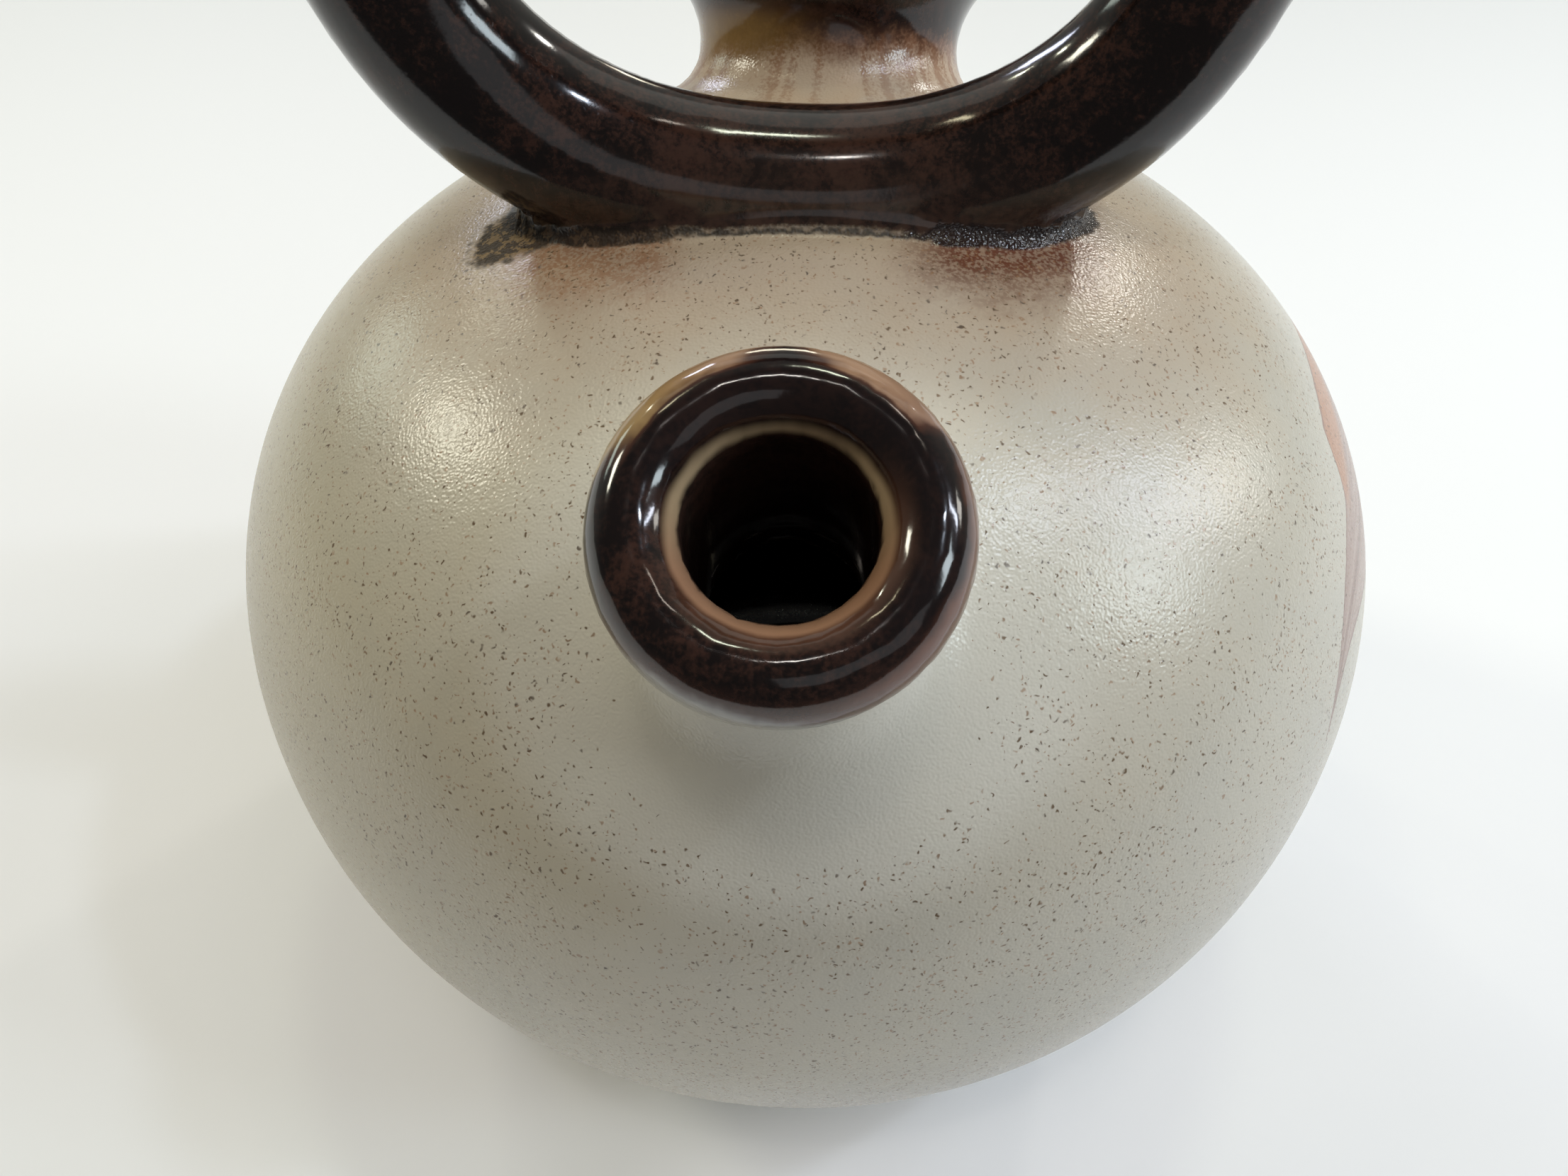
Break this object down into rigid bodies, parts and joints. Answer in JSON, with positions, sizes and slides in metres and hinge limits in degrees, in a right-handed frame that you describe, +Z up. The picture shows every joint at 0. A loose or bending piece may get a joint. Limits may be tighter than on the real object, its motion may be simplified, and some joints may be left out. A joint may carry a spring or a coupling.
{
  "type": "water jug",
  "caption": "Round hollow stoneware water jug with a ring handle on the crown, a short lipped pouring spout and a wide lipped filling mouth.",
  "frame": {"origin": "centre of the flat underside, on the turning axis of the body", "axes": "+Z up along the body's turning axis, -Y towards the pouring spout, +Y towards the filling mouth, +X along the ring handle's width"},
  "size_m": [0.18, 0.18, 0.2484],
  "materials": {
    "speckled_glaze": "satin speckled cream glaze, darker gloss on ring and lips"
  },
  "bodies": {
    "root": {"jug": "speckled_glaze"}
  },
  "joints": []
}
